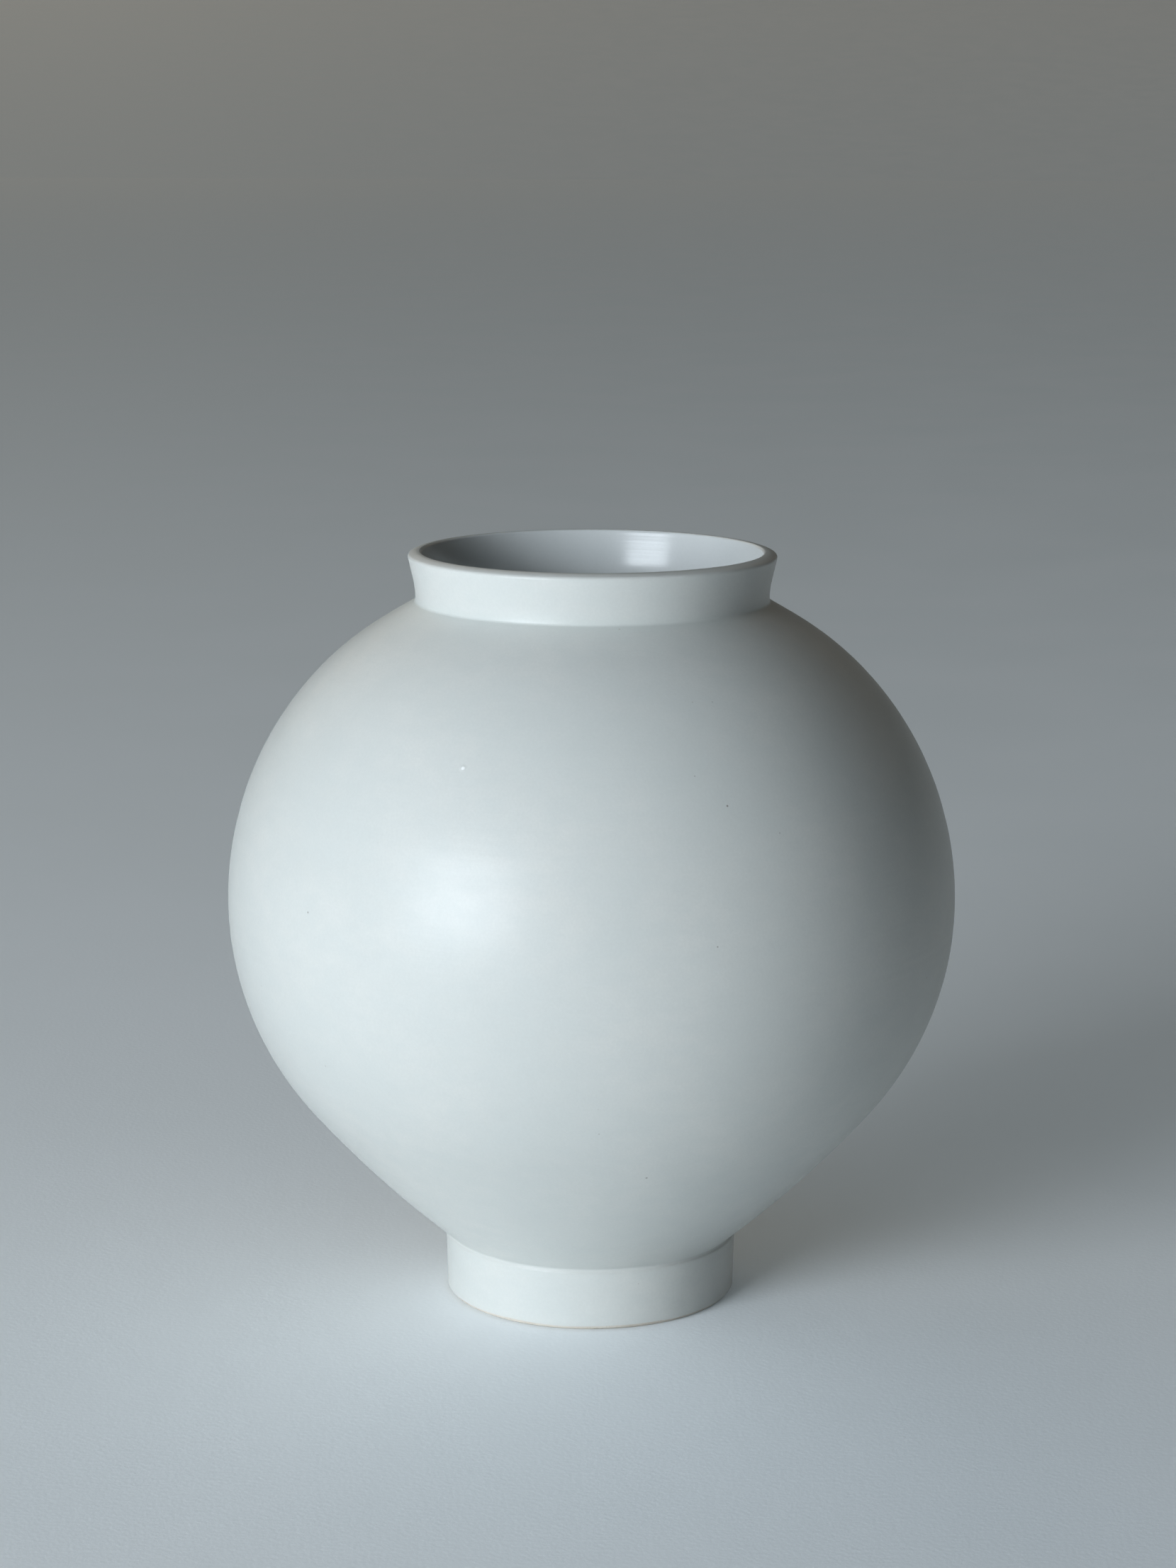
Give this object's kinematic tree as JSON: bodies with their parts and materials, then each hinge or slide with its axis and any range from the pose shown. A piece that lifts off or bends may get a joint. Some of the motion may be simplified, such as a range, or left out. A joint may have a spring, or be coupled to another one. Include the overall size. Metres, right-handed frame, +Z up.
{
  "type": "moon jar",
  "caption": "Round wheel-thrown jar of two bowls joined at the belly, with a flared neck collar, a low foot ring and a satin white glaze.",
  "frame": {"origin": "on the table under the middle of the foot", "axes": "+Z up along the jar's axis of turning, +X to the picture's right, +Y away from the camera"},
  "size_m": [0.23, 0.23, 0.239],
  "materials": {
    "foot_clay": "bare fired clay, matte and fine-grained",
    "bowl_clay": "fired clay under the glaze, matte",
    "slip": "fired joining slip, matte",
    "outer_glaze": "satin white glaze with a soft wide highlight",
    "inner_glaze": "glossy white liner glaze",
    "recess_glaze": "satin white glaze"
  },
  "bodies": {
    "root": {"foot_ring": "foot_clay", "foot_slip": "slip", "lower_bowl": "bowl_clay", "belly_slip": "slip", "belly_coil": "bowl_clay", "upper_bowl": "bowl_clay", "neck_slip": "slip", "neck_collar": "bowl_clay", "outer_glaze": "outer_glaze", "inner_glaze": "inner_glaze", "recess_glaze": "recess_glaze"}
  },
  "joints": []
}
